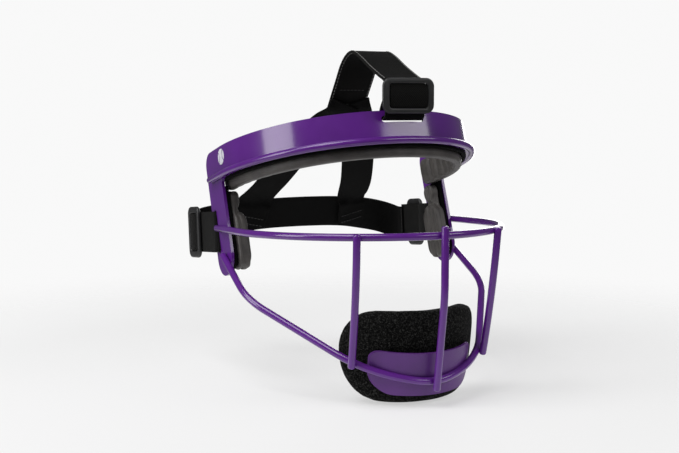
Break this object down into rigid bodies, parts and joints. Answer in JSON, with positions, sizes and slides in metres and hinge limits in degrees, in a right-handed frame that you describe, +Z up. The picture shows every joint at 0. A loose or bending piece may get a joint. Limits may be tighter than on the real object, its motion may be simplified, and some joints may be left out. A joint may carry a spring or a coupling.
{
  "type": "softball fielder's face mask",
  "caption": "Purple steel fielder's face mask with a stamped band, wire cage, chin plate, foam pads and an elastic webbing harness with sliding adjusters.",
  "frame": {"origin": "midway between the two legs, level with the cross wire where it meets them, which is the middle of the wearer's head", "axes": "the wearer faces -Y, +X is the wearer's left, +Z is up"},
  "size_m": [0.19, 0.2352, 0.227],
  "materials": {
    "purple_coat": "gloss",
    "chin_coat": "satin",
    "emblem_print": "satin",
    "backing": "matte",
    "foam": "matte",
    "hook_tape": "matte",
    "loop_cloth": "matte",
    "webbing": "matte",
    "slider_plastic": "satin",
    "elastic": "matte"
  },
  "bodies": {
    "mask": {"frame_plate": "purple_coat", "brow_wire": "purple_coat", "cross_wire": "purple_coat", "lower_wire": "purple_coat", "left_bar": "purple_coat", "centre_bar": "purple_coat", "right_bar": "purple_coat", "chin_plate": "chin_coat", "emblem": "emblem_print", "brow_backing": "backing", "left_backing": "backing", "right_backing": "backing", "chin_hook_tape": "hook_tape", "top_strap": "webbing", "left_strap": "webbing", "right_strap": "webbing", "crown_left_strap": "elastic", "crown_right_strap": "elastic"},
    "forehead_pad": {"brow_pad": "foam"},
    "left_side_pad": {"left_pad": "foam"},
    "right_side_pad": {"right_pad": "foam"},
    "chin_cushion": {"chin_pad": "loop_cloth"},
    "top_adjuster": {"top_slider": "slider_plastic", "top_fold": "webbing"},
    "left_adjuster": {"left_slider": "slider_plastic", "left_fold": "webbing"},
    "right_adjuster": {"right_slider": "slider_plastic", "right_fold": "webbing"},
    "rear_elastic": {"rear_strap": "elastic"}
  },
  "joints": [
    {"name": "forehead_pad_pull", "type": "slide", "parent": "mask", "child": "forehead_pad", "axis": [0, 1, 0], "range_m": [0, 0.012]},
    {"name": "left_pad_pull", "type": "slide", "parent": "mask", "child": "left_side_pad", "axis": [-1, 0, 0], "range_m": [0, 0.01]},
    {"name": "right_pad_pull", "type": "slide", "parent": "mask", "child": "right_side_pad", "axis": [1, 0, 0], "range_m": [0, 0.01]},
    {"name": "chin_pad_pull", "type": "slide", "parent": "mask", "child": "chin_cushion", "axis": [0, 1, 0], "range_m": [0, 0.015]},
    {"name": "top_adjust", "type": "slide", "parent": "mask", "child": "top_adjuster", "axis": [0, 0, 1], "range_m": [-0.004, 0.001]},
    {"name": "left_adjust", "type": "slide", "parent": "mask", "child": "left_adjuster", "axis": [0, 0.9956, -0.0941], "range_m": [-0.015, 0.003]},
    {"name": "right_adjust", "type": "slide", "parent": "mask", "child": "right_adjuster", "axis": [0, 0.9956, -0.0941], "range_m": [-0.015, 0.003]},
    {"name": "rear_stretch", "type": "slide", "parent": "mask", "child": "rear_elastic", "axis": [0, 1, 0], "range_m": [0, 0.025], "stiffness_N_per_m": 150, "deforming": ["left_strap", "right_strap", "crown_left_strap", "crown_right_strap"]}
  ]
}
